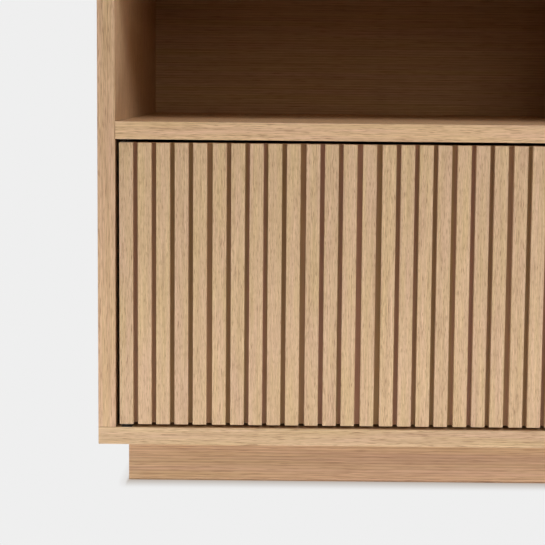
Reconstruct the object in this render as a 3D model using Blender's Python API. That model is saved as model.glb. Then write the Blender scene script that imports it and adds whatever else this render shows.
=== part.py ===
"""Media cabinet in oak veneer: two open niches over two slatted, handleless doors, on a recessed plinth.

Frame: metres, +Z up, the front faces -Y, and the origin is on the floor under the middle of the cabinet.
Sizes inside one bay are measured from its outer wall: "across" runs from the inner face of the side
panel towards the middle divider, and "behind" runs back from the front plane.
Each side of the cabinet is named by a sign: -1 is the left bay and +1 is the right bay.
"""

import math

import bmesh
import bpy
from mathutils import Vector

MM = 0.001

# Carcass
WIDTH = 1200 * MM
DEPTH = 460 * MM
BOARD = 19 * MM                 # thickness of every carcass board
PLINTH_HEIGHT = 48 * MM
LOWER_OPENING = 316 * MM        # clear height behind the doors
NICHE_HEIGHT = 169 * MM         # clear height of the open niches
NICHE_DEPTH = 444 * MM
ARRIS = 0.5 * MM                # eased edge of a veneered board
TOUCH = 0.3 * MM                # gap kept between pieces that touch

# Back panels, let into grooves in the boards around them
BACK_THICKNESS = 8 * MM
BACK_TONGUE = 6 * MM

# Plinth
PLINTH_INSET = 30 * MM          # set-back from the bottom panel's front and ends
CORNER_BLOCK = 34 * MM
GLIDE_RADIUS = 12 * MM
GLIDE_THICKNESS = 4 * MM
GLIDE_STANDOFF = 0.5 * MM       # how far the glides hold the plinth off the floor

# Doors: slats on a thin backer, glued to a core board
DOOR_THICKNESS = 28 * MM
DOOR_GAP = 3.6 * MM             # above and below a door
DOOR_SIDE_GAP = 4.1 * MM        # beside a door
SLAT_WIDTH = 15 * MM
SLAT_COUNT = 28
GROOVE_WIDTH = 5 * MM
GROOVE_DEPTH = 10 * MM
WIDE_GROOVE_EXTRA = 1.1 * MM
SLATS_BEFORE_WIDE_GROOVE = (5, 10, 13, 14, 18, 21, 25)
BACKER_THICKNESS = 2 * MM
SLAT_CHAMFER = 0.5 * MM

# Offset pivot hinges in the gaps above and below each door
PIVOT_ACROSS = 10.5 * MM
PIVOT_BEHIND = 6 * MM
LEAF_WIDTH = 11 * MM
LEAF_FRONT = 1.5 * MM           # front edge of both leaves, behind the front plane
DOOR_LEAF_LENGTH = 24 * MM
CABINET_LEAF_LENGTH = 40 * MM
DOOR_LEAF_THICKNESS = 4 * MM
CABINET_LEAF_THICKNESS = 2.5 * MM
LEAF_PROUD = 0.9 * MM           # how far a leaf stands out of its mortise
PIN_RADIUS = 2.2 * MM
PIN_CLEARANCE = 0.3 * MM

# Push latches under the niche shelves
LATCH_FROM_DIVIDER = 45 * MM
LATCH_BODY_WIDTH = 14 * MM
LATCH_HEIGHT = 18 * MM          # flange and body together
LATCH_LENGTH = 60 * MM
LATCH_FLANGE_WIDTH = 34 * MM
LATCH_FLANGE_THICKNESS = 3 * MM
LATCH_SCREW_RADIUS = 1.6 * MM
LATCH_SCREW_HEAD_RADIUS = 3.4 * MM
LATCH_SCREW_HEAD = 1.8 * MM
LATCH_SCREW_LENGTH = 12 * MM
PLUNGER_RADIUS = 4 * MM
PLUNGER_PROUD = 4 * MM
PLUNGER_INSIDE = 18 * MM
PLUNGER_BORE_DEPTH = 24 * MM
PLUNGER_ROUND_OVER = 1 * MM
STRIKE_RADIUS = 6.5 * MM
STRIKE_THICKNESS = 1.2 * MM

# Adjustable shelves and the pins that carry them
SHELF_THICKNESS = 16 * MM
SHELF_SETBACK = 55 * MM         # front edge behind the front plane
SHELF_SIDE_PLAY = 1.5 * MM
SHELF_REAR_PLAY = 10 * MM
PIN_ROW_HEIGHTS = (110 * MM, 142 * MM, 174 * MM)    # above the bottom panel
PIN_ROW_USED = 1
PIN_COLUMNS = (95 * MM, 395 * MM)                   # behind the front plane
PIN_HOLE_RADIUS = 2.5 * MM
PIN_HOLE_DEPTH = 8 * MM
PIN_SHANK_RADIUS = 2.2 * MM
PIN_PEG_RADIUS = 3 * MM
PIN_COLLAR_RADIUS = 4.5 * MM
PIN_COLLAR_THICKNESS = 1.2 * MM
PIN_PEG_LENGTH = 7 * MM

# Cable holes and their grommets
BACK_HOLE_RADIUS = 25 * MM
BACK_HOLE_HEIGHT = 58 * MM      # above the bottom panel
SHELF_HOLE_RADIUS = 22 * MM
SHELF_HOLE_FROM_DIVIDER = 34 * MM
SHELF_HOLE_FROM_BACK = 42 * MM
GROMMET_WALL = 4.5 * MM
GROMMET_FLANGE = 4 * MM
GROMMET_FLANGE_THICKNESS = 2 * MM
GROMMET_SUNK = GROMMET_FLANGE_THICKNESS + 2 * TOUCH     # so that a niche's floor stays flat

# Levels and planes that follow from the driving dimensions
FRONT = -DEPTH / 2
REAR = DEPTH / 2
INNER_WALL = WIDTH / 2 - BOARD
DIVIDER_FACE = BOARD / 2
BAY_WIDTH = INNER_WALL - DIVIDER_FACE
FLOOR_LEVEL = PLINTH_HEIGHT + BOARD
SHELF_UNDERSIDE = FLOOR_LEVEL + LOWER_OPENING
SHELF_TOP = SHELF_UNDERSIDE + BOARD
TOP_UNDERSIDE = SHELF_TOP + NICHE_HEIGHT
HEIGHT = TOP_UNDERSIDE + BOARD
BACK_FACE = FRONT + NICHE_DEPTH
DOOR_BOTTOM = FLOOR_LEVEL + DOOR_GAP
DOOR_TOP = SHELF_UNDERSIDE - DOOR_GAP
DOOR_WIDTH = BAY_WIDTH - 2 * DOOR_SIDE_GAP
PIN_LEVEL = FLOOR_LEVEL + PIN_ROW_HEIGHTS[PIN_ROW_USED]

OAK = ((0.60, 0.42, 0.26), 0.55, 0.0)
CORE = ((0.33, 0.20, 0.12), 0.65, 0.0)
STEEL = ((0.55, 0.55, 0.56), 0.35, 1.0)
DARK_STEEL = ((0.10, 0.10, 0.10), 0.45, 1.0)
GREY_PLASTIC = ((0.45, 0.45, 0.44), 0.5, 0.0)
BLACK_PLASTIC = ((0.02, 0.02, 0.02), 0.5, 0.0)

LEFT = -1
RIGHT = 1
SIDES = ((LEFT, "left"), (RIGHT, "right"))
ROUND_SEGMENTS = 32
SMALL_SEGMENTS = 16


def across(side, distance):
    """The x of a point this far from the side panel's inner face, towards the divider."""
    return side * (INNER_WALL - distance)


def behind(distance):
    """The y of a point this far behind the front plane."""
    return FRONT + distance


# --- Building blocks ---------------------------------------------------------------------------


def new_material(name, finish):
    """Gives a piece its own Principled material from a (colour, roughness, metallic) finish."""
    colour, roughness, metallic = finish
    material = bpy.data.materials.new(name + "_finish")
    material.use_nodes = True
    shader = material.node_tree.nodes["Principled BSDF"]
    shader.inputs["Base Color"].default_value = (*colour, 1.0)
    shader.inputs["Roughness"].default_value = roughness
    shader.inputs["Metallic"].default_value = metallic
    material.diffuse_color = (*colour, 1.0)
    return material


def new_piece(name, bm, location, finish, smooth=False):
    """Turns a bmesh, modelled round its own origin, into a named object at a place."""
    bmesh.ops.recalc_face_normals(bm, faces=bm.faces)
    mesh = bpy.data.meshes.new(name)
    bm.to_mesh(mesh)
    bm.free()
    if smooth:
        mesh.shade_smooth()
        mesh.set_sharp_from_angle(angle=math.radians(30))
    piece = bpy.data.objects.new(name, mesh)
    piece.location = location
    bpy.context.scene.collection.objects.link(piece)
    if finish:
        mesh.materials.append(new_material(name, finish))
    return piece


def arris_name(edge, half_size):
    """Names an edge of a box after the two faces that it joins, such as '-y+z'."""
    middle = (edge.verts[0].co + edge.verts[1].co) / 2
    name = ""
    for axis, position, limit in zip("xyz", middle, half_size):
        if abs(position) > limit / 2:
            name += ("+" if position > 0 else "-") + axis
    return name


def box(name, x_span, y_span, z_span, finish, eased=()):
    """A rectangular piece between three pairs of limits, with the named arrises eased."""
    spans = [sorted(span) for span in (x_span, y_span, z_span)]
    size = Vector([high - low for low, high in spans])
    centre = Vector([(low + high) / 2 for low, high in spans])
    bm = bmesh.new()
    bmesh.ops.create_cube(bm, size=1.0)
    bmesh.ops.scale(bm, vec=size, verts=bm.verts)
    edges = [edge for edge in bm.edges if arris_name(edge, size / 2) in eased]
    if edges:
        bmesh.ops.bevel(bm, geom=edges, offset=ARRIS, segments=2, profile=0.5, affect="EDGES")
    return new_piece(name, bm, centre, finish)


def prism(outline, depth):
    """An outline in the XY plane, extruded from z = 0 to the depth."""
    bm = bmesh.new()
    face = bm.faces.new([bm.verts.new((x, y, 0)) for x, y in outline])
    extruded = bmesh.ops.extrude_face_region(bm, geom=[face])
    moved = [item for item in extruded["geom"] if isinstance(item, bmesh.types.BMVert)]
    bmesh.ops.translate(bm, vec=(0, 0, depth), verts=moved)
    return bm


def lathe(profile, segments, closed=False):
    """Turns (radius, height) points about Z. A closed profile makes a ring, an open one is capped."""
    bm = bmesh.new()
    rings = []
    for radius, height in profile:
        ring = []
        for step in range(segments):
            angle = 2 * math.pi * step / segments
            ring.append(bm.verts.new((radius * math.cos(angle), radius * math.sin(angle), height)))
        rings.append(ring)
    pairs = list(zip(rings, rings[1:]))
    if closed:
        pairs.append((rings[-1], rings[0]))
    else:
        bm.faces.new(rings[0])
        bm.faces.new(rings[-1])
    for lower, upper in pairs:
        for step in range(segments):
            after = (step + 1) % segments
            bm.faces.new((lower[step], lower[after], upper[after], upper[step]))
    return bm


def lay_along(bm, direction):
    """Turns a bmesh built along +Z so that it runs along another direction."""
    turn = Vector((0, 0, 1)).rotation_difference(Vector(direction)).to_matrix()
    bmesh.ops.rotate(bm, cent=(0, 0, 0), matrix=turn, verts=bm.verts)
    return bm


def rod(radius, length, direction, segments=SMALL_SEGMENTS):
    """A plain cylinder that starts at its origin and runs along a direction."""
    return lay_along(lathe([(radius, 0), (radius, length)], segments), direction)


def combine(piece, tool, operation):
    """Cuts or joins a piece with a tool object, which stays as a hidden guide."""
    tool.hide_render = True
    tool.display_type = "WIRE"
    modifier = piece.modifiers.new(tool.name, "BOOLEAN")
    modifier.operation = operation
    modifier.solver = "EXACT"
    modifier.object = tool


def cut(piece, tool):
    combine(piece, tool, "DIFFERENCE")


def new_axis(name, location):
    """An empty on a joint's axis, which the moving pieces hang from."""
    axis = bpy.data.objects.new(name, None)
    axis.empty_display_size = 20 * MM
    axis.location = location
    bpy.context.scene.collection.objects.link(axis)
    return axis


def hang_on(axis, piece):
    """Parents a piece to an axis and leaves it where it stands."""
    piece.parent = axis
    piece.location -= axis.location


# --- Carcass -----------------------------------------------------------------------------------


def build_top_and_bottom():
    """The two full-width boards that the sides stand between."""
    vertical = ("-x-y", "+x-y", "-x+y", "+x+y")
    under = ("-y-z", "+y-z", "-x-z", "+x-z")
    over = ("-y+z", "+y+z", "-x+z", "+x+z")
    x_span = (-WIDTH / 2, WIDTH / 2)
    y_span = (FRONT, REAR)
    bottom = box("bottom_panel", x_span, y_span, (PLINTH_HEIGHT, FLOOR_LEVEL), OAK, vertical + under)
    top = box("top_panel", x_span, y_span, (TOP_UNDERSIDE, HEIGHT), OAK, vertical + over)
    return bottom, top


def build_uprights():
    """The side panels and the middle divider, keyed by the side they bound."""
    z_span = (FLOOR_LEVEL + TOUCH, TOP_UNDERSIDE - TOUCH)
    vertical = ("-x-y", "+x-y", "-x+y", "+x+y")
    uprights = {}
    for side, word in SIDES:
        x_span = (side * INNER_WALL, side * WIDTH / 2)
        uprights[side] = box("side_panel_" + word, x_span, (FRONT, REAR), z_span, OAK, vertical)
    x_span = (-DIVIDER_FACE, DIVIDER_FACE)
    divider = box("center_divider", x_span, (FRONT, REAR), z_span, OAK, vertical)
    return uprights, divider


def build_niche_shelf(side, word):
    """The fixed board between a niche and the compartment below it."""
    x_span = (across(side, TOUCH), across(side, BAY_WIDTH - TOUCH))
    y_span = (FRONT, BACK_FACE - TOUCH)
    z_span = (SHELF_UNDERSIDE, SHELF_TOP)
    return box("niche_shelf_" + word, x_span, y_span, z_span, OAK, ("-y-z", "-y+z"))


def build_back_panel(side, word, neighbours):
    """A back panel whose edges are let into grooves in the four boards around it."""
    x_span = (across(side, -BACK_TONGUE), across(side, BAY_WIDTH + BACK_TONGUE))
    y_span = (BACK_FACE, BACK_FACE + BACK_THICKNESS)
    z_span = (FLOOR_LEVEL - BACK_TONGUE, TOP_UNDERSIDE + BACK_TONGUE)
    panel = box("back_panel_" + word, x_span, y_span, z_span, OAK)
    loose = [(min(span) - TOUCH, max(span) + TOUCH) for span in (x_span, y_span, z_span)]
    groove = box("back_groove_" + word, *loose, None)
    for board in neighbours:
        cut(board, groove)
    return panel


def build_plinth():
    """The recessed frame under the bottom panel, with blocks and glides in its corners."""
    outer_x = WIDTH / 2 - PLINTH_INSET
    outer_front = FRONT + PLINTH_INSET
    outer_rear = REAR - PLINTH_INSET
    z_span = (GLIDE_STANDOFF, PLINTH_HEIGHT - TOUCH)
    ends = ("-x-y", "+x-y")
    box("plinth_front", (-outer_x, outer_x), (outer_front, outer_front + BOARD), z_span, OAK, ends)
    box("plinth_rear", (-outer_x, outer_x), (outer_rear - BOARD, outer_rear), z_span, OAK)
    between = (outer_front + BOARD + TOUCH, outer_rear - BOARD - TOUCH)
    box("plinth_center_rail", (-BOARD / 2, BOARD / 2), between, z_span, OAK)
    for side, word in SIDES:
        inner_x = outer_x - BOARD
        box("plinth_side_" + word, (side * inner_x, side * outer_x), between, z_span, OAK)
        block_x = (side * (inner_x - TOUCH), side * (inner_x - TOUCH - CORNER_BLOCK))
        corners = (("front", between[0], 1), ("rear", between[1], -1))
        for place, start, inward in corners:
            block_y = (start, start + inward * CORNER_BLOCK)
            block_z = (GLIDE_THICKNESS + TOUCH, PLINTH_HEIGHT - TOUCH)
            suffix = place + "_" + word
            box("corner_block_" + suffix, block_x, block_y, block_z, OAK)
            centre = (sum(block_x) / 2, sum(block_y) / 2, 0)
            edge = GLIDE_RADIUS - ARRIS
            profile = [(edge, 0), (GLIDE_RADIUS, ARRIS), (GLIDE_RADIUS, GLIDE_THICKNESS)]
            disc = lathe(profile, ROUND_SEGMENTS)
            new_piece("floor_glide_" + suffix, disc, centre, GREY_PLASTIC, smooth=True)


# --- Adjustable shelves ------------------------------------------------------------------------


def drill_pin_holes(side, word, outer, divider):
    """Rows of blind holes for shelf pins, in both walls of a bay."""
    walls = ((outer, across(side, 0), side), (divider, across(side, BAY_WIDTH), -side))
    for board, face_x, into in walls:
        for row, height in enumerate(PIN_ROW_HEIGHTS):
            for column, distance in enumerate(PIN_COLUMNS):
                start = (face_x - into * PIN_HOLE_DEPTH, behind(distance), FLOOR_LEVEL + height)
                drill = rod(PIN_HOLE_RADIUS, 2 * PIN_HOLE_DEPTH, (into, 0, 0))
                tool = new_piece(f"pin_drill_{word}_{board.name}_{row}{column}", drill, start, None)
                cut(board, tool)


def build_shelf_pins(side, word):
    """Four turned pins: a shank in the wall, a collar against it and a peg under the shelf."""
    shank = PIN_HOLE_DEPTH - 2 * TOUCH
    collar = TOUCH + PIN_COLLAR_THICKNESS
    profile = [
        (PIN_SHANK_RADIUS, -shank),
        (PIN_SHANK_RADIUS, TOUCH),
        (PIN_COLLAR_RADIUS, TOUCH),
        (PIN_COLLAR_RADIUS, collar),
        (PIN_PEG_RADIUS, collar),
        (PIN_PEG_RADIUS, collar + PIN_PEG_LENGTH),
    ]
    walls = (("outer", across(side, 0), -side), ("inner", across(side, BAY_WIDTH), side))
    for wall, face_x, out in walls:
        for column, distance in zip(("front", "rear"), PIN_COLUMNS):
            pin = lay_along(lathe(profile, SMALL_SEGMENTS), (out, 0, 0))
            place = (face_x, behind(distance), PIN_LEVEL)
            new_piece(f"shelf_pin_{word}_{wall}_{column}", pin, place, STEEL, smooth=True)


def build_adjustable_shelf(side, word):
    """The loose shelf behind a door, resting on its four pins beyond their collars."""
    play = SHELF_SIDE_PLAY + TOUCH + PIN_COLLAR_THICKNESS
    x_span = (across(side, play), across(side, BAY_WIDTH - play))
    y_span = (behind(SHELF_SETBACK), BACK_FACE - SHELF_REAR_PLAY)
    underside = PIN_LEVEL + PIN_PEG_RADIUS + TOUCH
    z_span = (underside, underside + SHELF_THICKNESS)
    box("adjustable_shelf_" + word, x_span, y_span, z_span, OAK, ("-y-z", "-y+z"))


# --- Cable holes -------------------------------------------------------------------------------


def build_grommet(name, hole_radius, panel_thickness, place, direction):
    """A flanged sleeve for a cable hole. It goes into the panel along a direction from its face."""
    outer = hole_radius - TOUCH
    inner = hole_radius - GROMMET_WALL
    flange = hole_radius + GROMMET_FLANGE
    top = -TOUCH - GROMMET_FLANGE_THICKNESS
    profile = [
        (inner, top),
        (flange - ARRIS, top),
        (flange, top + ARRIS),
        (flange, -TOUCH),
        (outer, -TOUCH),
        (outer, panel_thickness),
        (inner, panel_thickness),
    ]
    sleeve = lay_along(lathe(profile, ROUND_SEGMENTS, closed=True), direction)
    new_piece(name, sleeve, place, BLACK_PLASTIC, smooth=True)


def add_cable_hole(name, word, panel, hole_radius, thickness, place, direction, sunk=0):
    """Drills a cable hole through a panel and lines it with a grommet, sunk this far if at all."""
    into = Vector(direction)
    drill = rod(hole_radius, 3 * thickness, direction, ROUND_SEGMENTS)
    cut(panel, new_piece(f"{name}_drill_{word}", drill, Vector(place) - into * thickness, None))
    if sunk:
        recess = rod(hole_radius + GROMMET_FLANGE + TOUCH, 2 * sunk, direction, ROUND_SEGMENTS)
        cut(panel, new_piece(f"{name}_recess_{word}", recess, Vector(place) - into * sunk, None))
    seat = Vector(place) + into * sunk
    build_grommet(f"{name}_grommet_{word}", hole_radius, thickness - sunk, seat, direction)


def add_cable_holes(side, word, back_panel, niche_shelf):
    """One hole out through the back panel, and one down from the niche."""
    out = (across(side, BAY_WIDTH / 2), BACK_FACE, FLOOR_LEVEL + BACK_HOLE_HEIGHT)
    add_cable_hole("back_cable", word, back_panel, BACK_HOLE_RADIUS, BACK_THICKNESS, out, (0, 1, 0))
    across_shelf = across(side, BAY_WIDTH - SHELF_HOLE_FROM_DIVIDER)
    down = (across_shelf, BACK_FACE - SHELF_HOLE_FROM_BACK, SHELF_TOP)
    radius = SHELF_HOLE_RADIUS
    add_cable_hole("niche_cable", word, niche_shelf, radius, BOARD, down, (0, 0, -1), GROMMET_SUNK)


# --- Doors -------------------------------------------------------------------------------------


def slat_starts():
    """Where each slat begins, from the door's hinge edge. A few grooves are a little wider."""
    wide_total = WIDE_GROOVE_EXTRA * len(SLATS_BEFORE_WIDE_GROOVE)
    slats_total = SLAT_COUNT * SLAT_WIDTH + (SLAT_COUNT - 1) * GROOVE_WIDTH + wide_total
    position = (DOOR_WIDTH - slats_total) / 2
    starts = []
    for number in range(1, SLAT_COUNT + 1):
        starts.append(position)
        position += SLAT_WIDTH + GROOVE_WIDTH
        if number in SLATS_BEFORE_WIDE_GROOVE:
            position += WIDE_GROOVE_EXTRA
    return starts


def build_slatted_front(side, word):
    """The slats and their backer as one ribbed sheet, drawn as a cross-section and extruded up."""
    outline = [(0, GROOVE_DEPTH + BACKER_THICKNESS), (0, GROOVE_DEPTH)]
    for start in slat_starts():
        end = start + SLAT_WIDTH
        outline.append((start, GROOVE_DEPTH))
        outline.append((start, SLAT_CHAMFER))
        outline.append((start + SLAT_CHAMFER, 0))
        outline.append((end - SLAT_CHAMFER, 0))
        outline.append((end, SLAT_CHAMFER))
        outline.append((end, GROOVE_DEPTH))
    outline.append((DOOR_WIDTH, GROOVE_DEPTH))
    outline.append((DOOR_WIDTH, GROOVE_DEPTH + BACKER_THICKNESS))
    mirrored = [(-side * u, v) for u, v in outline]
    sheet = prism(mirrored, DOOR_TOP - DOOR_BOTTOM)
    corner = (across(side, DOOR_SIDE_GAP), FRONT, DOOR_BOTTOM)
    return new_piece("slatted_front_" + word, sheet, corner, OAK)


def build_door_core(side, word):
    """The board that the slatted front is glued to."""
    x_span = (across(side, DOOR_SIDE_GAP), across(side, DOOR_SIDE_GAP + DOOR_WIDTH))
    y_span = (behind(GROOVE_DEPTH + BACKER_THICKNESS + TOUCH), behind(DOOR_THICKNESS))
    eased = ("-x+y", "+x+y", "+y-z", "+y+z")
    return box("door_core_" + word, x_span, y_span, (DOOR_BOTTOM, DOOR_TOP), CORE, eased)


def leaf_spans(side, length):
    """The x and y limits of a hinge leaf, which is let into the first slat's ends, behind its face."""
    edge = DOOR_SIDE_GAP + slat_starts()[0] + (SLAT_WIDTH - LEAF_WIDTH) / 2
    x_span = (across(side, edge), across(side, edge + LEAF_WIDTH))
    return x_span, (behind(LEAF_FRONT), behind(LEAF_FRONT + length))


def cut_mortise(name, boards, x_span, y_span, z_span):
    """Cuts the pocket for a leaf, a touch larger than the leaf itself."""
    loose = [(min(span) - TOUCH, max(span) + TOUCH) for span in (x_span, y_span, z_span)]
    pocket = box(name + "_mortise", *loose, None)
    for board in boards:
        cut(board, pocket)


def build_hinge(side, word, place, carcass_board, door_boards, face, towards_door):
    """One pivot hinge: a leaf with a pin in the carcass and a leaf with a bore in the door.

    face is the level of the carcass board's face, and towards_door is +1 or -1 along Z.
    """
    suffix = place + "_" + word
    x_span, y_span = leaf_spans(side, CABINET_LEAF_LENGTH)
    proud = face + towards_door * LEAF_PROUD
    z_span = (proud - towards_door * CABINET_LEAF_THICKNESS, proud)
    cabinet_leaf = box("hinge_cabinet_leaf_" + suffix, x_span, y_span, z_span, DARK_STEEL)
    cut_mortise("cabinet_leaf_" + suffix, [carcass_board], x_span, y_span, z_span)

    pivot_x = across(side, PIVOT_ACROSS)
    pivot_y = behind(PIVOT_BEHIND)
    door_edge = face + towards_door * DOOR_GAP
    leaf_start = door_edge - towards_door * LEAF_PROUD
    leaf_end = leaf_start + towards_door * DOOR_LEAF_THICKNESS
    pin_root = proud - towards_door * LEAF_PROUD
    pin_length = abs(leaf_end - pin_root) - TOUCH
    pin = rod(PIN_RADIUS, pin_length, (0, 0, towards_door))
    pin_place = (pivot_x, pivot_y, pin_root)
    combine(cabinet_leaf, new_piece("hinge_pin_" + suffix, pin, pin_place, None), "UNION")

    x_span, y_span = leaf_spans(side, DOOR_LEAF_LENGTH)
    z_span = (leaf_start, leaf_end)
    door_leaf = box("hinge_door_leaf_" + suffix, x_span, y_span, z_span, DARK_STEEL)
    cut_mortise("door_leaf_" + suffix, door_boards, x_span, y_span, z_span)
    bore = rod(PIN_RADIUS + PIN_CLEARANCE, 3 * DOOR_LEAF_THICKNESS, (0, 0, towards_door))
    bore_place = (pivot_x, pivot_y, leaf_start - towards_door * DOOR_LEAF_THICKNESS)
    cut(door_leaf, new_piece("hinge_bore_" + suffix, bore, bore_place, None))
    return door_leaf


def build_door(side, word, bottom, niche_shelf):
    """A door with its two pivot hinges, all on an axis empty at the pivot."""
    front = build_slatted_front(side, word)
    core = build_door_core(side, word)
    boards = [front, core]
    lower = build_hinge(side, word, "lower", bottom, boards, FLOOR_LEVEL, 1)
    upper = build_hinge(side, word, "upper", niche_shelf, boards, SHELF_UNDERSIDE, -1)
    strike = build_strike(side, word)
    pivot = (across(side, PIVOT_ACROSS), behind(PIVOT_BEHIND), FLOOR_LEVEL)
    axis = new_axis("door_axis_" + word, pivot)
    for piece in (front, core, lower, upper, strike):
        hang_on(axis, piece)


# --- Push latches ------------------------------------------------------------------------------


def latch_axis():
    """Distance across the bay and height of a plunger's centre line, in the middle of the body."""
    body_middle = (LATCH_FLANGE_THICKNESS + LATCH_HEIGHT) / 2
    return BAY_WIDTH - LATCH_FROM_DIVIDER, SHELF_UNDERSIDE - TOUCH - body_middle


def build_strike(side, word):
    """The steel disc on the door's rear face that the plunger meets."""
    distance, level = latch_axis()
    disc = lathe([(STRIKE_RADIUS, 0), (STRIKE_RADIUS, STRIKE_THICKNESS)], ROUND_SEGMENTS)
    place = (across(side, distance), behind(DOOR_THICKNESS + TOUCH), level)
    return new_piece("strike_plate_" + word, lay_along(disc, (0, 1, 0)), place, STEEL, smooth=True)


def latch_section(top):
    """The housing's cross-section about the plunger's centre line: a body under a wide flange.

    It is drawn so that, extruded along +Z and then laid along +Y, its flange ends up on top.
    """
    flange = LATCH_FLANGE_WIDTH / 2
    body = LATCH_BODY_WIDTH / 2
    under_flange = top - LATCH_FLANGE_THICKNESS
    bottom = top - LATCH_HEIGHT
    upright = [
        (-flange, top),
        (flange, top),
        (flange, under_flange),
        (body, under_flange),
        (body, bottom),
        (-body, bottom),
        (-body, under_flange),
        (-flange, under_flange),
    ]
    return [(x, -height) for x, height in upright]


def build_latch(side, word, niche_shelf):
    """A flanged housing screwed under the niche shelf, and the sprung plunger that slides in it."""
    distance, level = latch_axis()
    x = across(side, distance)
    tip = DOOR_THICKNESS + STRIKE_THICKNESS + 2 * TOUCH
    face = tip + PLUNGER_PROUD
    top = SHELF_UNDERSIDE - TOUCH - level
    shell = lay_along(prism(latch_section(top), LATCH_LENGTH), (0, 1, 0))
    housing = new_piece("latch_housing_" + word, shell, (x, behind(face), level), GREY_PLASTIC)

    bore = rod(PLUNGER_RADIUS + TOUCH, 2 * PLUNGER_BORE_DEPTH, (0, 1, 0), ROUND_SEGMENTS)
    bore_start = (x, behind(face - PLUNGER_BORE_DEPTH), level)
    cut(housing, new_piece("plunger_bore_" + word, bore, bore_start, None))
    screw_offset = (LATCH_BODY_WIDTH + LATCH_FLANGE_WIDTH) / 4
    for edge, offset in (("outer", side * screw_offset), ("inner", -side * screw_offset)):
        place = (x + offset, behind(face + LATCH_LENGTH / 2), level + top - LATCH_FLANGE_THICKNESS)
        build_latch_screw(f"{word}_{edge}", place, (housing, niche_shelf))

    profile = [
        (PLUNGER_RADIUS - PLUNGER_ROUND_OVER, 0),
        (PLUNGER_RADIUS, PLUNGER_ROUND_OVER),
        (PLUNGER_RADIUS, PLUNGER_PROUD + PLUNGER_INSIDE),
    ]
    plunger = lay_along(lathe(profile, ROUND_SEGMENTS), (0, 1, 0))
    place = (x, behind(tip), level)
    new_piece("latch_plunger_" + word, plunger, place, BLACK_PLASTIC, smooth=True)


def build_latch_screw(suffix, flange_place, boards):
    """A pan-head screw from under the flange up into the niche shelf, with its pilot hole."""
    profile = [
        (LATCH_SCREW_HEAD_RADIUS - ARRIS, -TOUCH - LATCH_SCREW_HEAD),
        (LATCH_SCREW_HEAD_RADIUS, -TOUCH - LATCH_SCREW_HEAD + ARRIS),
        (LATCH_SCREW_HEAD_RADIUS, -TOUCH),
        (LATCH_SCREW_RADIUS, -TOUCH),
        (LATCH_SCREW_RADIUS, LATCH_SCREW_LENGTH),
    ]
    screw = lathe(profile, SMALL_SEGMENTS)
    new_piece("latch_screw_" + suffix, screw, flange_place, STEEL, smooth=True)
    overrun = Vector((0, 0, 2 * TOUCH))
    pilot_length = LATCH_SCREW_LENGTH + 3 * TOUCH
    pilot = rod(LATCH_SCREW_RADIUS + TOUCH, pilot_length, (0, 0, 1))
    pilot_place = Vector(flange_place) - overrun
    tool = new_piece("latch_pilot_" + suffix, pilot, pilot_place, None)
    for board in boards:
        cut(board, tool)


def build_cabinet():
    for leftover in list(bpy.data.objects):
        bpy.data.objects.remove(leftover, do_unlink=True)
    bottom, top = build_top_and_bottom()
    uprights, divider = build_uprights()
    build_plinth()
    for side, word in SIDES:
        outer = uprights[side]
        niche_shelf = build_niche_shelf(side, word)
        back_panel = build_back_panel(side, word, (bottom, top, outer, divider))
        add_cable_holes(side, word, back_panel, niche_shelf)
        drill_pin_holes(side, word, outer, divider)
        build_shelf_pins(side, word)
        build_adjustable_shelf(side, word)
        build_door(side, word, bottom, niche_shelf)
        build_latch(side, word, niche_shelf)


build_cabinet()
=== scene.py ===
"""Looks for the media cabinet: oak finishes, modelled slats, a plain studio and the camera.

Frame: metres, +Z up, the front faces -Y, and the origin is on the floor under the middle of the cabinet.
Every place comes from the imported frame's boxes. The slats repeat the layout of the slatted fronts that
they stand for, and textures are laid out in millimetres of each board at rest, so they move with it.
"""

import itertools
import math
import random

import bmesh
import bpy
from mathutils import Matrix, Vector


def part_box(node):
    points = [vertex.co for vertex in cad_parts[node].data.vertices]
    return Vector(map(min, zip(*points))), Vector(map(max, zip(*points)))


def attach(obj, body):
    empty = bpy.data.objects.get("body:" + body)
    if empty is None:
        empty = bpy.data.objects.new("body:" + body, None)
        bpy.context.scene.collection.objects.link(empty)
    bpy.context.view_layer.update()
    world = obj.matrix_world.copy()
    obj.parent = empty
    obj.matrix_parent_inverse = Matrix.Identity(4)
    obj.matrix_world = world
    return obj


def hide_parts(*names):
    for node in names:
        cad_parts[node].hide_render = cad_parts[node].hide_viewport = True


MM = 0.001
LEFT = -1
RIGHT = 1
SIDES = ((LEFT, "left"), (RIGHT, "right"))
ENDS = ("front", "rear")

# Slatted fronts, measured across the door from its hinge edge and back from its front
SLAT_WIDTH = 15 * MM
SLAT_COUNT = 28
GROOVE_WIDTH = 5 * MM
GROOVE_DEPTH = 10 * MM
WIDE_GROOVE_EXTRA = 1.1 * MM
SLATS_BEFORE_WIDE_GROOVE = (5, 10, 13, 14, 18, 21, 25)
SLAT_ARRIS = 0.5 * MM
SLAT_ARRIS_SEGMENTS = 3

MORTISE_PLAY = 0.3 * MM                 # round the hinge leaves let into the first slat

# Camera
CAMERA_PLACE = (-0.37415, -1.8762, 0.4487)
CAMERA_YAW = math.radians(0.070)        # to the right of straight at the front
CAMERA_PITCH = math.radians(5.886)      # downwards
CAMERA_ROLL = math.radians(0.569)
CAMERA_SENSOR = 36                      # millimetres
CAMERA_LENS = 100.85                    # millimetres
CAMERA_SHIFT = (-0.0648, -0.0653)

# Studio
BACKGROUND = (239, 239, 239)
FLOOR_ALBEDO = 0.8
FLOOR_RADIUS = 1.6
FLOOR_CORNERS = 64
SHADOW_TONE = (188, 179, 170)
# The shadow round the plinth, as two layers: reach beside it, reach before and behind it, strength
SHADOW_LAYERS = ((12 * MM, 36 * MM, 0.38), (3 * MM, 28 * MM, 0.60))

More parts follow.
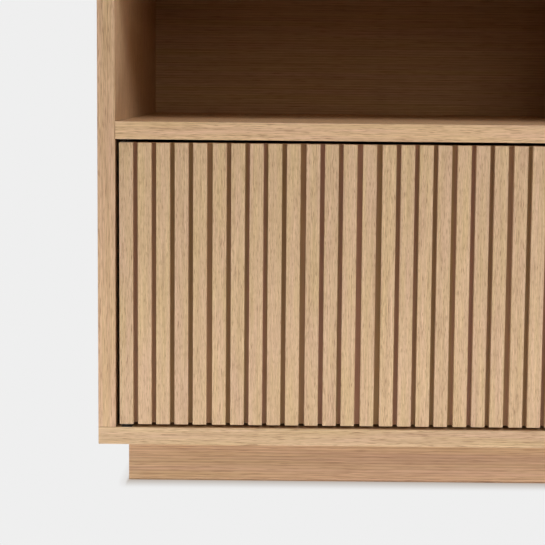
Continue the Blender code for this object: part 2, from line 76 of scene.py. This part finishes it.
# Soft lights: place, target, size across and along, power in watts, colour
NEUTRAL = (1.0, 1.0, 1.0)
WARM = (1.0, 0.78, 0.54)
SOFTBOXES = {
    "key": ((1.2, -2.0, 2.2), (-0.2, -0.1, 0.3), (1.8, 1.2), 40.5, NEUTRAL),
    "fill": ((-1.8, -2.1, 2.2), (-0.2, -0.1, 0.3), (1.8, 1.2), 15.0, NEUTRAL),
    "low_front": ((0.8, -4.1, 1.35), (-0.3, -0.1, 0.35), (1.2, 0.9), 9.6, WARM),
    "floor_bounce": ((-0.2, -0.62, 0.002), (-0.2, -0.62, 1.0), (2.6, 0.6), 5.6, NEUTRAL),
    "foot_bounce": ((-0.2, -0.27, 0.002), (-0.2, -0.27, 1.0), (2.6, 0.14), 0.68, NEUTRAL),
    "left_side": ((-2.6, 0.5, 1.3), (-0.6, 0.2, 0.3), (1.4, 1.4), 32.0, NEUTRAL),
    "right_side": ((2.6, 0.5, 1.3), (0.6, 0.2, 0.3), (1.4, 1.4), 32.0, NEUTRAL),
    "rear": ((0.3, 2.4, 2.3), (0.0, 0.2, 0.3), (2.0, 1.4), 58.0, NEUTRAL),
}


def linear(red, green, blue):
    """The linear colour of an 8-bit sRGB one."""
    channels = []
    for level in (red, green, blue):
        share = level / 255
        if share <= 0.04045:
            channels.append(share / 12.92)
        else:
            channels.append(((share + 0.055) / 1.055) ** 2.4)
    return channels


# --- Materials ---------------------------------------------------------------------------------


class Finish:
    """One procedural material: a Principled shader, and helpers that add the nodes that feed it."""

    def __init__(self, name):
        self.material = bpy.data.materials.new(name)
        self.material.use_nodes = True
        self.tree = self.material.node_tree
        self.shader = self.tree.nodes["Principled BSDF"]

    def feed(self, socket, value):
        """Links a socket to an output, or sets it to a plain value."""
        if isinstance(value, bpy.types.NodeSocket):
            self.tree.links.new(value, socket)
        elif isinstance(value, (tuple, list)) and socket.type == "RGBA":
            socket.default_value = (*value[:3], 1.0)
        else:
            socket.default_value = value

    def node(self, kind, **settings):
        added = self.tree.nodes.new("ShaderNode" + kind)
        for name, value in settings.items():
            setattr(added, name, value)
        return added

    def math(self, operation, first, second=0.0, clamp=False):
        added = self.node("Math", operation=operation, use_clamp=clamp)
        self.feed(added.inputs[0], first)
        self.feed(added.inputs[1], second)
        return added.outputs[0]

    def vector_math(self, operation, first, second):
        added = self.node("VectorMath", operation=operation)
        self.feed(added.inputs[0], first)
        self.feed(added.inputs[1], second)
        return added.outputs[0]

    def noise(self, place, detail=2.0, roughness=0.5, distortion=0.0):
        added = self.node("TexNoise")
        self.feed(added.inputs["Vector"], place)
        self.feed(added.inputs["Scale"], 1.0)
        self.feed(added.inputs["Detail"], detail)
        self.feed(added.inputs["Roughness"], roughness)
        self.feed(added.inputs["Distortion"], distortion)
        return added.outputs["Fac"]

    def grain(self, place, axis, along, across, **settings):
        """Noise with its own frequency along the grain and another across it."""
        scaled = self.vector_math("MULTIPLY", place, grain_scale(axis, along, across))
        return self.noise(scaled, **settings)

    def speckle(self, place, frequency, **settings):
        """Noise with the same frequency in every direction."""
        return self.noise(self.vector_math("MULTIPLY", place, (frequency,) * 3), **settings)

    def spread(self, value, low, high, to_low=0.0, to_high=1.0):
        """Stretches the range low..high of a value over to_low..to_high, and clamps it there."""
        added = self.node("MapRange", clamp=True)
        for socket, setting in zip(added.inputs, (value, low, high, to_low, to_high)):
            self.feed(socket, setting)
        return added.outputs[0]

    def mix(self, factor, first, second, blend="MIX"):
        added = self.node("Mix", data_type="RGBA", blend_type=blend)
        self.feed(added.inputs["Factor"], factor)
        self.feed(added.inputs[6], first)
        self.feed(added.inputs[7], second)
        return added.outputs[2]

    def mix_places(self, factor, first, second):
        added = self.node("Mix", data_type="VECTOR")
        self.feed(added.inputs["Factor"], factor)
        self.feed(added.inputs[4], first)
        self.feed(added.inputs[5], second)
        return added.outputs[1]

    def bump(self, height, strength, distance):
        added = self.node("Bump")
        self.feed(added.inputs["Height"], height)
        added.inputs["Strength"].default_value = strength
        added.inputs["Distance"].default_value = distance
        self.feed(self.shader.inputs["Normal"], added.outputs[0])

    def place_in_mm(self, offset):
        """The point on the piece at rest, in millimetres, moved by the piece's own offset."""
        coordinates = self.node("TexCoord")
        scaled = self.vector_math("MULTIPLY", coordinates.outputs["Object"], (1000.0,) * 3)
        return self.vector_math("ADD", scaled, offset)

    def finish(self, colour, roughness):
        self.feed(self.shader.inputs["Base Color"], colour)
        self.feed(self.shader.inputs["Roughness"], roughness)
        return self.material


def grain_scale(axis, along, across):
    """Frequencies per millimetre along a grain axis and across it, as a vector."""
    return tuple(along if name == axis else across for name in "xyz")


def board_offset(name):
    """A board's own place in the wood pattern, the same each run."""
    dice = random.Random("board " + name)
    return tuple(dice.uniform(-4000, 4000) for _ in range(3))


# The oak's tones, and the tints that it drifts between
OAK_LIGHT = linear(238, 207, 168)
OAK_DARK = linear(172, 138, 102)
OAK_PORE = linear(131, 88, 54)
OAK_PINK = (1.015, 0.985, 1.045)
OAK_YELLOW = (0.99, 1.005, 0.92)

# Multipliers on a board's colour: tone on the side panels and door cores, painted light and shade on the
# rest
PLAIN = (1.0, 1.0, 1.0)
# Plinth boards darkened as painted shade under the bottom panel's overhang
PLINTH_PAINTED_SHADE = (0.93, 0.87, 0.87)
# Back panels darkened as painted shade at the back of the niches
BACK_PAINTED_SHADE = (0.86, 0.86, 0.85)
CORE_STAIN = (0.93, 0.88, 0.82)
# Niche shelves lightened as painted light on the niche floors and shelf fronts
SHELF_PAINTED_LIGHT = (1.11, 1.08, 1.08)
SIDE_STAIN = (1.03, 0.99, 1.00)

# The layers of noise in the oak, with frequencies per millimetre along the grain and across it
BANDS = {"along": 0.004, "across": 0.085, "detail": 3.0, "roughness": 0.55, "distortion": 0.35}
LINES = {"along": 0.007, "across": 0.48, "detail": 1.0}
FIBRES = {"along": 0.040, "across": 1.80, "detail": 3.0, "roughness": 0.75}
PORES = {"along": 0.140, "across": 2.20, "detail": 1.0, "roughness": 0.6}
WARMTH = {"along": 0.012, "across": 0.12, "detail": 1.0}
BAND_WEIGHT = 0.20
LINE_WEIGHT = 0.40
FIBRE_WEIGHT = 1.55
PORE_WEIGHT = 0.62
PORE_RANGE = (0.555, 0.70)
OAK_ROUGHNESS = (0.46, 0.56)
PORE_ROUGHNESS = 0.25                   # added in the pores
OAK_RELIEF = 0.06 * MM
SLAT_WARMTH_WEIGHT = 0.15
SLAT_SHADE_RANGE = (0.975, 1.025)
SLAT_JUMP = 900.0                       # millimetres at most between the woods of two slats

# How far the grain is stretched, how strong it is, and how strong its growth rings are
SLAT_GRAIN = {"stretch": 1.2, "contrast": 1.05, "rings": 0.0}
BOARD_GRAIN = {"stretch": 2.0, "contrast": 1.2, "rings": 0.0}
STRIPED_GRAIN = {"stretch": 4.0, "contrast": 0.95, "rings": 0.13}
RING_PITCH = 3.4                        # millimetres
RING_SWAY = 5.0                         # radians, how far the bands push the rings about


def add_layer(finish, total, value, weight):
    """Adds a value that lies round a half to a total that lies round its own middle."""
    centred = finish.math("SUBTRACT", value, 0.5)
    return finish.math("ADD", total, finish.math("MULTIPLY", centred, weight))


def growth_rings(finish, place, bands, strength):
    """Stripes that follow each other up the board and waver with its bands."""
    split = finish.node("SeparateXYZ")
    finish.feed(split.inputs[0], place)
    phase = finish.math("MULTIPLY", split.outputs["Z"], 2 * math.pi / RING_PITCH)
    phase = finish.math("ADD", phase, finish.math("MULTIPLY", bands, RING_SWAY))
    return finish.math("MULTIPLY", finish.math("SINE", phase), strength)


def is_end_face(finish):
    """1 on faces whose normal at rest is along X, and 0 elsewhere."""
    normal = finish.node("SeparateXYZ")
    finish.feed(normal.inputs[0], finish.node("TexCoord").outputs["Normal"])
    return finish.math("GREATER_THAN", finish.math("ABSOLUTE", normal.outputs[0]), 0.7)


def slat_dice(finish):
    """A random value and a random colour for each slat, from the number on its faces."""
    number = finish.node("Attribute", attribute_name="slat_number").outputs["Fac"]
    dice = finish.node("TexWhiteNoise", noise_dimensions="1D")
    finish.feed(dice.inputs["W"], number)
    return dice.outputs["Value"], dice.outputs["Color"]


def shade_slats(finish, colour, slat_tone):
    """Makes each slat as a whole slightly darker or lighter."""
    shade = finish.spread(slat_tone, 0.0, 1.0, *SLAT_SHADE_RANGE)
    grey = finish.node("CombineXYZ")
    for socket in grey.inputs:
        finish.feed(socket, shade)
    return finish.mix(1.0, colour, grey.outputs[0], "MULTIPLY")


def oak(name, axis, grain=BOARD_GRAIN, stain_and_painted_light=PLAIN, end_axis=None, numbered=False):
    """Oiled oak veneer with its grain along one axis.

    end_axis is the grain's direction on faces whose normal is along X, as on the banded ends of a
    wide board. A numbered piece holds a slat number on each face, and every slat is its own wood.
    """
    finish = Finish("oak_" + name)
    place = finish.place_in_mm(board_offset(name))
    slat_tone = 0.5
    if numbered:
        slat_tone, slat_colour = slat_dice(finish)
        jump = finish.vector_math("MULTIPLY", slat_colour, (SLAT_JUMP,) * 3)
        place = finish.vector_math("ADD", place, jump)
    is_end = is_end_face(finish) if end_axis else None

    def layer(along, across, **settings):
        along /= grain["stretch"]
        laid = finish.vector_math("MULTIPLY", place, grain_scale(axis, along, across))
        if end_axis:
            on_end = finish.vector_math("MULTIPLY", place, grain_scale(end_axis, along, across))
            laid = finish.mix_places(is_end, laid, on_end)
        return finish.noise(laid, **settings)

    bands = layer(**BANDS)
    fibres = layer(**FIBRES)
    contrast = grain["contrast"]
    depth = 0.5
    for value, weight in ((bands, BAND_WEIGHT), (layer(**LINES), LINE_WEIGHT), (fibres, FIBRE_WEIGHT)):
        depth = add_layer(finish, depth, value, weight * contrast)
    if grain["rings"]:
        depth = finish.math("ADD", depth, growth_rings(finish, place, bands, grain["rings"]))
    colour = finish.mix(finish.spread(depth, 0.0, 1.0), OAK_LIGHT, OAK_DARK)
    marks = finish.math("MULTIPLY", finish.spread(layer(**PORES), *PORE_RANGE), PORE_WEIGHT * contrast)
    colour = finish.mix(marks, colour, OAK_PORE)

    warmth = add_layer(finish, layer(**WARMTH), slat_tone, SLAT_WARMTH_WEIGHT)
    hue = finish.mix(finish.spread(warmth, 0.30, 0.70), OAK_PINK, OAK_YELLOW)
    colour = finish.mix(1.0, colour, hue, "MULTIPLY")
    if numbered:
        colour = shade_slats(finish, colour, slat_tone)
    # The board's multiplier: tone on some boards, painted light and shade on the plinth, niche backs and
    # niche shelves
    if stain_and_painted_light != PLAIN:
        colour = finish.mix(1.0, colour, stain_and_painted_light, "MULTIPLY")

    roughness = finish.spread(depth, 0.2, 0.8, *OAK_ROUGHNESS)
    roughness = finish.math("ADD", roughness, finish.math("MULTIPLY", marks, PORE_ROUGHNESS))
    height = finish.math("SUBTRACT", finish.math("MULTIPLY", fibres, 0.5), marks)
    finish.bump(height, 0.3, OAK_RELIEF)
    return finish.finish(colour, roughness)


def raw_wood(name, axis):
    """Planed solid softwood, for the blocks and the rail behind the plinth boards."""
    finish = Finish("raw_" + name)
    place = finish.place_in_mm(board_offset(name))
    bands = finish.grain(place, axis, 0.004, 0.16, detail=3.0)
    fibres = finish.grain(place, axis, 0.05, 1.6, detail=2.0)
    colour = finish.mix(finish.spread(bands, 0.35, 0.65), linear(222, 190, 142), linear(196, 154, 104))
    colour = finish.mix(finish.spread(fibres, 0.5, 0.8, 0.0, 0.4), colour, linear(170, 128, 86))
    finish.bump(fibres, 0.3, 0.1 * MM)
    return finish.finish(colour, finish.spread(fibres, 0.3, 0.7, 0.6, 0.75))


def backing(name):
    """The sheet that the slats are glued to, darkened as painted shade in the grooves. Its tone drifts from
    groove to groove.
    """
    finish = Finish("backing_" + name)
    place = finish.place_in_mm(board_offset(name))
    drift = finish.grain(place, "z", 0.0006, 0.055, detail=1.0)
    fibres = finish.grain(place, "z", 0.04, 1.1, detail=3.0)
    # Darker browns than the oak's: painted shade at the floors of the grooves
    colour = finish.mix(finish.spread(drift, 0.43, 0.57), linear(186, 141, 114), linear(173, 141, 94))
    colour = finish.mix(finish.spread(fibres, 0.3, 0.7, 0.0, 0.35), colour, linear(142, 104, 76))
    finish.bump(fibres, 0.2, 0.08 * MM)
    return finish.finish(colour, finish.spread(fibres, 0.3, 0.7, 0.55, 0.7))


def plastic(name, colour, roughness):
    """Moulded plastic with a fine spark-eroded texture."""
    finish = Finish(name)
    place = finish.place_in_mm((0.0, 0.0, 0.0))
    texture = finish.speckle(place, 2.5, detail=2.0)
    wear = finish.speckle(place, 0.08, detail=2.0)
    lighter = [min(1.0, level * 1.25 + 0.004) for level in colour]
    finish.bump(texture, 0.25, 0.05 * MM)
    mixed = finish.mix(finish.spread(wear, 0.35, 0.7), colour, lighter)
    return finish.finish(mixed, finish.spread(texture, 0.3, 0.7, roughness - 0.06, roughness + 0.08))


def metal(name, colour, roughness):
    """Steel with faint brushing along the depth of the cabinet and a few dull patches."""
    finish = Finish(name)
    finish.shader.inputs["Metallic"].default_value = 1.0
    place = finish.place_in_mm((0.0, 0.0, 0.0))
    brushed = finish.grain(place, "y", 0.15, 6.0, detail=2.0)
    patches = finish.speckle(place, 0.3, detail=2.0)
    darker = [level * 0.78 for level in colour]
    mixed = finish.mix(finish.spread(patches, 0.4, 0.75), colour, darker)
    finish.bump(brushed, 0.15, 0.02 * MM)
    return finish.finish(mixed, finish.spread(brushed, 0.3, 0.7, roughness - 0.07, roughness + 0.09))


# --- Slats -------------------------------------------------------------------------------------


def slat_starts(door_width):
    """Where each slat begins, from the door's hinge edge."""
    wide_total = WIDE_GROOVE_EXTRA * len(SLATS_BEFORE_WIDE_GROOVE)
    slats_total = SLAT_COUNT * SLAT_WIDTH + (SLAT_COUNT - 1) * GROOVE_WIDTH + wide_total
    position = (door_width - slats_total) / 2
    starts = []
    for number in range(1, SLAT_COUNT + 1):
        starts.append(position)
        position += SLAT_WIDTH + GROOVE_WIDTH
        if number in SLATS_BEFORE_WIDE_GROOVE:
            position += WIDE_GROOVE_EXTRA
    return starts


def solid_of_cells(planes, is_filled):
    """A closed solid made of the filled cells of a grid, given its planes along X, Y and Z."""
    bm = bmesh.new()
    verts = {}
    counts = [len(along) - 1 for along in planes]

    def vert(place):
        if place not in verts:
            verts[place] = bm.verts.new([along[index] for along, index in zip(planes, place)])
        return verts[place]

    def filled(cell):
        inside = all(0 <= index < count for index, count in zip(cell, counts))
        return inside and is_filled(*cell)

    for cell in itertools.product(*(range(count) for count in counts)):
        if not filled(cell):
            continue
        for axis, end in itertools.product(range(3), (0, 1)):
            neighbour = list(cell)
            neighbour[axis] += 2 * end - 1
            if filled(neighbour):
                continue
            corners = []
            for step in ((0, 0), (1, 0), (1, 1), (0, 1)):
                corner = list(cell)
                corner[axis] += end
                corner[(axis + 1) % 3] += step[0]
                corner[(axis + 2) % 3] += step[1]
                corners.append(vert(tuple(corner)))
            bm.faces.new(corners)
    bmesh.ops.recalc_face_normals(bm, faces=bm.faces)
    bmesh.ops.dissolve_limit(bm, angle_limit=0.01, verts=bm.verts, edges=bm.edges)
    return bm


def slat_solid(x_span, y_span, z_span, pocket):
    """One slat with rounded front arrises. Behind a lip, a slat with a pocket is open at both ends."""
    planes = [x_span, y_span, z_span]
    if pocket:
        walls, lip, floors = pocket
        planes = [
            (x_span[0], *walls, x_span[1]),
            (y_span[0], lip, y_span[1]),
            (z_span[0], *floors, z_span[1]),
        ]

    def is_filled(column, layer, level):
        return not pocket or (column, layer) != (1, 1) or level == 1

    bm = solid_of_cells(planes, is_filled)
    edges = []
    for edge in bm.edges:
        if all(abs(vert.co.y - y_span[0]) < 0.01 * MM for vert in edge.verts):
            edges.append(edge)
    bmesh.ops.bevel(
        bm,
        geom=edges,
        offset=SLAT_ARRIS,
        segments=SLAT_ARRIS_SEGMENTS,
        profile=0.5,
        affect="EDGES",
    )
    return bm


def leaf_pocket(word):
    """Where a door's hinge leaves sit in its first slat: the side walls, the lip and the two floors."""
    lower_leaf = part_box("hinge_door_leaf_lower_" + word)
    upper_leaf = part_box("hinge_door_leaf_upper_" + word)
    walls = (lower_leaf[0][0] - MORTISE_PLAY, lower_leaf[1][0] + MORTISE_PLAY)
    lip = lower_leaf[0][1] - MORTISE_PLAY
    floors = (lower_leaf[1][2] + MORTISE_PLAY, upper_leaf[0][2] - MORTISE_PLAY)
    return walls, lip, floors


def add_part(whole, part, numbers, number, material_index):
    """Copies one solid into the whole, with its number and material on each face."""
    copies = {vert: whole.verts.new(vert.co) for vert in part.verts}
    for face in part.faces:
        copy = whole.faces.new([copies[vert] for vert in face.verts])
        copy[numbers] = number
        copy.material_index = material_index
    part.free()


def build_slatted_front(side, word):
    """The slats of a door and the backer behind them, as one piece that stands for the ribbed sheet."""
    low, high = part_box("slatted_front_" + word)
    front, back = low[1], high[1]
    bottom, top = low[2], high[2]
    hinge_edge = low[0] if side == LEFT else high[0]
    groove_floor = front + GROOVE_DEPTH
    pocket = leaf_pocket(word)

    whole = bmesh.new()
    numbers = whole.faces.layers.float.new("slat_number")
    for number, start in enumerate(slat_starts(high[0] - low[0]), 1):
        edges = (hinge_edge - side * start, hinge_edge - side * (start + SLAT_WIDTH))
        spans = (min(edges), max(edges)), (front, groove_floor), (bottom, top)
        part = slat_solid(*spans, pocket if number == 1 else None)
        add_part(whole, part, numbers, number, 0)

    walls, _, floors = pocket
    planes = [(low[0], *walls, high[0]), (groove_floor, back), (bottom, *floors, top)]
    sheet = solid_of_cells(planes, lambda column, _, level: (column, level) not in ((1, 0), (1, 2)))
    add_part(whole, sheet, numbers, 0, 1)

    name = "slats_" + word
    mesh = bpy.data.meshes.new(name)
    whole.to_mesh(mesh)
    whole.free()
    mesh.materials.append(oak(name, "z", SLAT_GRAIN, numbered=True))
    mesh.materials.append(backing(word))
    piece = bpy.data.objects.new(name, mesh)
    bpy.context.scene.collection.objects.link(piece)
    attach(piece, "door_" + word)
    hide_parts("slatted_front_" + word)


# --- Finishes on the frame's own pieces --------------------------------------------------------


def coat(node, material):
    """Puts one material on every slot of a frame piece."""
    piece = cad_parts[node]
    if not piece.material_slots:
        piece.data.materials.append(material)
    for index in range(len(piece.material_slots)):
        piece.material_slots[index].material = material


def coat_boards():
    coat("bottom_panel", oak("bottom_panel", "x", end_axis="y"))
    coat("top_panel", oak("top_panel", "x", end_axis="y"))
    coat("center_divider", oak("center_divider", "z"))
    # The plinth boards carry painted shade
    coat("plinth_front", oak("plinth_front", "x", STRIPED_GRAIN, PLINTH_PAINTED_SHADE))
    coat("plinth_rear", oak("plinth_rear", "x", STRIPED_GRAIN, PLINTH_PAINTED_SHADE))
    coat("plinth_center_rail", raw_wood("plinth_center_rail", "y"))
    for _, word in SIDES:
        coat("side_panel_" + word, oak("side_panel_" + word, "z", stain_and_painted_light=SIDE_STAIN))
        # Niche shelves carry painted light, the back panels and plinth sides painted shade
        coat("niche_shelf_" + word, oak("niche_shelf_" + word, "x", stain_and_painted_light=SHELF_PAINTED_LIGHT))
        coat("back_panel_" + word, oak("back_panel_" + word, "x", STRIPED_GRAIN, BACK_PAINTED_SHADE))
        coat("adjustable_shelf_" + word, oak("adjustable_shelf_" + word, "x"))
        coat("plinth_side_" + word, oak("plinth_side_" + word, "y", STRIPED_GRAIN, PLINTH_PAINTED_SHADE))
        coat("door_core_" + word, oak("door_core_" + word, "z", stain_and_painted_light=CORE_STAIN))
        for end in ENDS:
            block = f"corner_block_{end}_{word}"
            coat(block, raw_wood(block, "z"))


def coat_fittings():
    steel = metal("zinc_plated_steel", linear(186, 187, 190), 0.36)
    satin_black = plastic("satin_black_paint", linear(70, 58, 47), 0.42)
    grey = plastic("grey_plastic", linear(176, 176, 173), 0.5)
    black = plastic("black_plastic", linear(34, 33, 33), 0.48)
    finishes = (
        ("floor_glide_", grey),
        ("latch_housing_", grey),
        ("latch_plunger_", black),
        ("back_cable_grommet_", black),
        ("niche_cable_grommet_", black),
        ("hinge_", satin_black),
        ("latch_screw_", steel),
        ("shelf_pin_", steel),
        ("strike_plate_", steel),
    )
    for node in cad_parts:
        for start, material in finishes:
            if node.startswith(start):
                coat(node, material)


# --- Studio ------------------------------------------------------------------------------------


def shadow_of_plinth(finish):
    """How dark the floor is beside the plinth, from 0 to 1, falling off with the distance from it."""
    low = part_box("plinth_front")[0]
    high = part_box("plinth_rear")[1]
    place = finish.node("SeparateXYZ")
    finish.feed(place.inputs[0], finish.node("TexCoord").outputs["Object"])
    gaps = []
    for axis in (0, 1):
        from_middle = finish.math("SUBTRACT", place.outputs[axis], (low[axis] + high[axis]) / 2)
        beyond = finish.math("SUBTRACT", finish.math("ABSOLUTE", from_middle), (high[axis] - low[axis]) / 2)
        gaps.append(finish.math("MAXIMUM", beyond, 0.0))
    shade = 0.0
    for beside, before, strength in SHADOW_LAYERS:
        squares = []
        for gap, reach in zip(gaps, (beside, before)):
            squares.append(finish.math("POWER", finish.math("DIVIDE", gap, reach), 2.0))
        distance = finish.math("SQRT", finish.math("ADD", *squares))
        shade = finish.math("ADD", shade, finish.spread(distance, 0.0, 1.0, strength, 0.0))
    return shade


def build_floor():
    """A plain pale floor that reads as flat as the background, but for the shadow round the plinth."""
    bm = bmesh.new()
    bmesh.ops.create_circle(bm, cap_ends=True, segments=FLOOR_CORNERS, radius=FLOOR_RADIUS)
    mesh = bpy.data.meshes.new("floor")
    bm.to_mesh(mesh)
    bm.free()
    finish = Finish("studio_floor")
    tree = finish.tree
    finish.feed(finish.shader.inputs["Base Color"], (FLOOR_ALBEDO,) * 3)
    finish.feed(finish.shader.inputs["Roughness"], 0.9)
    seen = finish.node("Emission")
    tone = finish.mix(shadow_of_plinth(finish), linear(*BACKGROUND), linear(*SHADOW_TONE))
    finish.feed(seen.inputs["Color"], tone)
    to_camera = finish.node("LightPath").outputs["Is Camera Ray"]
    chosen = finish.node("MixShader")
    finish.feed(chosen.inputs[0], to_camera)
    tree.links.new(finish.shader.outputs[0], chosen.inputs[1])
    tree.links.new(seen.outputs[0], chosen.inputs[2])
    tree.links.new(chosen.outputs[0], tree.nodes["Material Output"].inputs["Surface"])
    mesh.materials.append(finish.material)
    floor = bpy.data.objects.new("floor", mesh)
    bpy.context.scene.collection.objects.link(floor)


def build_world():
    """A plain backdrop that the camera sees and that gives no light of its own."""
    world = bpy.data.worlds.new("studio")
    bpy.context.scene.world = world
    world.use_nodes = True
    tree = world.node_tree
    backdrop = tree.nodes["Background"]
    backdrop.inputs["Color"].default_value = (*linear(*BACKGROUND), 1.0)
    path = tree.nodes.new("ShaderNodeLightPath")
    tree.links.new(path.outputs["Is Camera Ray"], backdrop.inputs["Strength"])


def add_softbox(name, place, target, size, power, colour):
    """A rectangular area light that faces a target. It lights the set but isn't seen itself."""
    data = bpy.data.lights.new(name, "AREA")
    data.shape = "RECTANGLE"
    data.size, data.size_y = size
    data.energy = power
    data.color = colour
    lamp = bpy.data.objects.new(name, data)
    aim = Vector(target) - Vector(place)
    lamp.matrix_world = Matrix.Translation(place) @ aim.to_track_quat("-Z", "Y").to_matrix().to_4x4()
    lamp.visible_camera = False
    bpy.context.scene.collection.objects.link(lamp)


def build_lights():
    for name, (place, target, size, power, colour) in SOFTBOXES.items():
        add_softbox(name, place, target, size, power, colour)


def build_camera():
    forward = Vector(
        (
            math.sin(CAMERA_YAW) * math.cos(CAMERA_PITCH),
            math.cos(CAMERA_YAW) * math.cos(CAMERA_PITCH),
            -math.sin(CAMERA_PITCH),
        )
    )
    level_right = forward.cross(Vector((0, 0, 1))).normalized()
    level_up = level_right.cross(forward)
    right = level_right * math.cos(CAMERA_ROLL) + level_up * math.sin(CAMERA_ROLL)
    up = level_up * math.cos(CAMERA_ROLL) - level_right * math.sin(CAMERA_ROLL)
    data = bpy.data.cameras.new("camera")
    data.sensor_width = CAMERA_SENSOR
    data.lens = CAMERA_LENS
    data.shift_x, data.shift_y = CAMERA_SHIFT
    data.clip_start = 0.01
    data.clip_end = 100
    camera = bpy.data.objects.new("camera", data)
    turn = Matrix((right, up, -forward)).transposed()
    camera.matrix_world = Matrix.Translation(CAMERA_PLACE) @ turn.to_4x4()
    bpy.context.scene.collection.objects.link(camera)
    bpy.context.scene.camera = camera


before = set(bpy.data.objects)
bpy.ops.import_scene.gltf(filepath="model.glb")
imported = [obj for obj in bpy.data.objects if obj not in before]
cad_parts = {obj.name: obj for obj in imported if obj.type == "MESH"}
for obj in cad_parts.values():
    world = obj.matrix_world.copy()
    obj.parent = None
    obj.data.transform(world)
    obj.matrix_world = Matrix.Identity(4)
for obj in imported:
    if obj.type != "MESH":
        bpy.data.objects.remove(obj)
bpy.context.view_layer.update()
bpy.context.scene.view_settings.view_transform = "Standard"

build_camera()
build_world()
build_floor()
build_lights()
coat_boards()
coat_fittings()
for door_side, door_word in SIDES:
    build_slatted_front(door_side, door_word)

bpy.context.view_layer.update()
